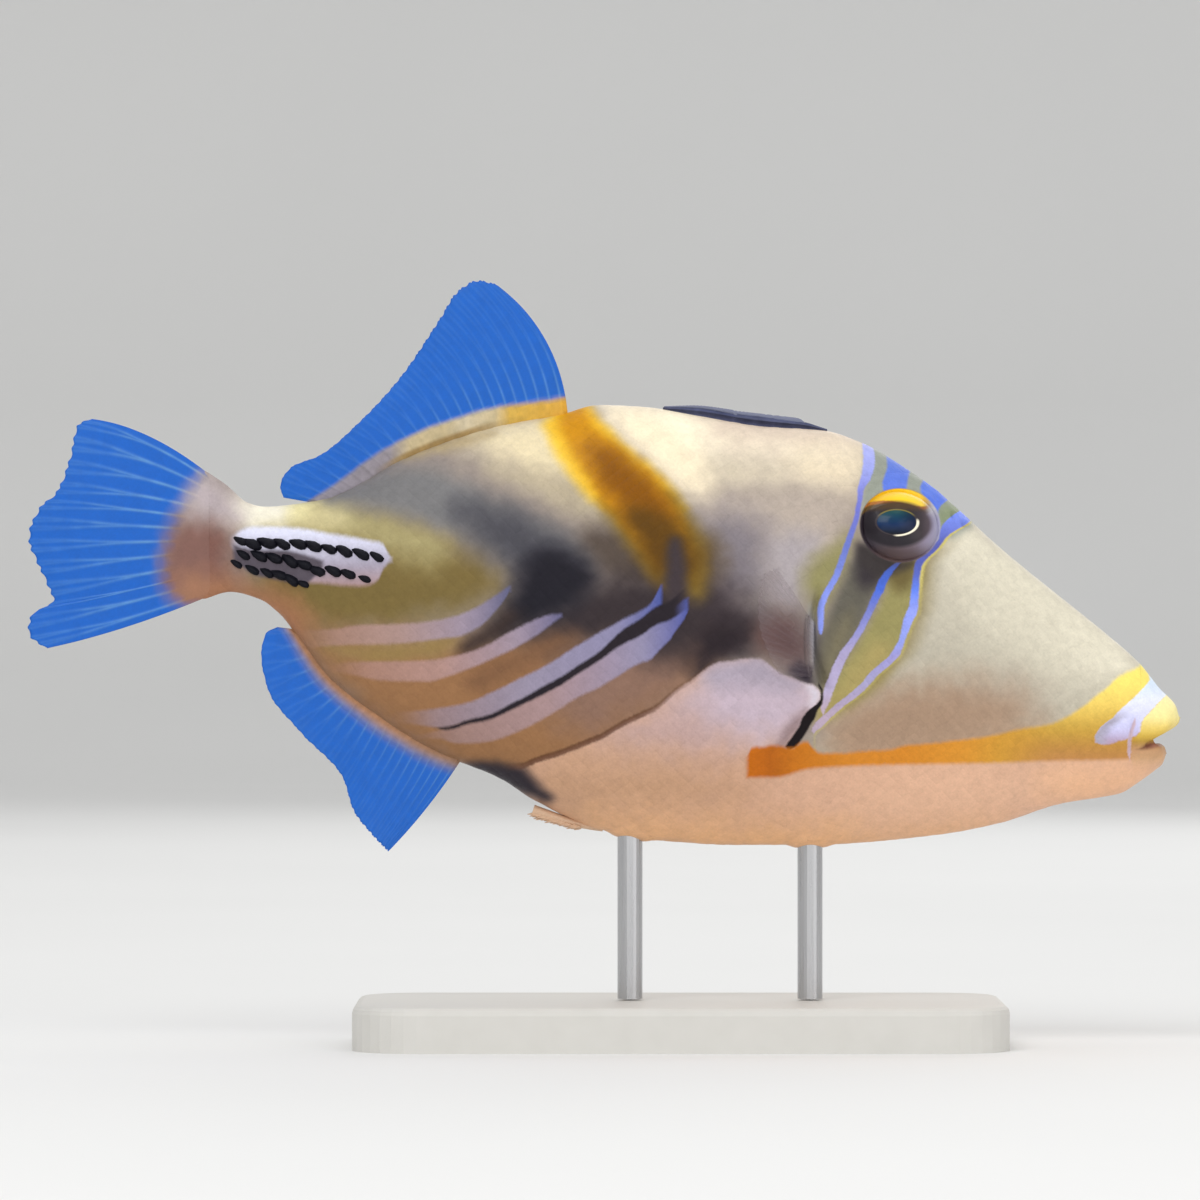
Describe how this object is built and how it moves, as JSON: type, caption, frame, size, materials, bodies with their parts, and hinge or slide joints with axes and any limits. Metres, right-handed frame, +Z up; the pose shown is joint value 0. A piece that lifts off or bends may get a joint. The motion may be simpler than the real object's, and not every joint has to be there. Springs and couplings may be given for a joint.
{
  "type": "picasso triggerfish display model",
  "caption": "Life-size still model of a picasso triggerfish, held level by short rods on a plain rounded base.",
  "frame": {"origin": "centre of the underside of the stand's base", "axes": "+X towards the fish's nose, +Y to its left, +Z up through its back"},
  "size_m": [0.2308, 0.064, 0.153],
  "materials": {
    "skin_cream": "painted satin skin",
    "skin_grey": "painted satin skin",
    "lip_yellow": "painted satin skin",
    "fin_membrane": "thin translucent membrane with raised rays",
    "eye": "polished dome",
    "spine_dark": "rough dark spines and membrane",
    "stand_plate": "smooth satin off-white",
    "stand_rod": "fine brushed"
  },
  "bodies": {
    "root": {"head": "skin_cream", "jaw_upper": "lip_yellow", "jaw_lower": "lip_yellow", "torso": "skin_cream", "tail_stalk": "skin_grey", "eye_left": "eye", "eye_right": "eye", "fin_dorsal_first": "spine_dark", "fin_dorsal_second": "fin_membrane", "fin_anal": "fin_membrane", "fin_caudal": "fin_membrane", "fin_pectoral_left": "fin_membrane", "fin_pectoral_right": "fin_membrane", "fin_pelvic": "skin_grey", "stand_base": "stand_plate", "stand_rod_front": "stand_rod", "stand_rod_rear": "stand_rod"}
  },
  "joints": []
}
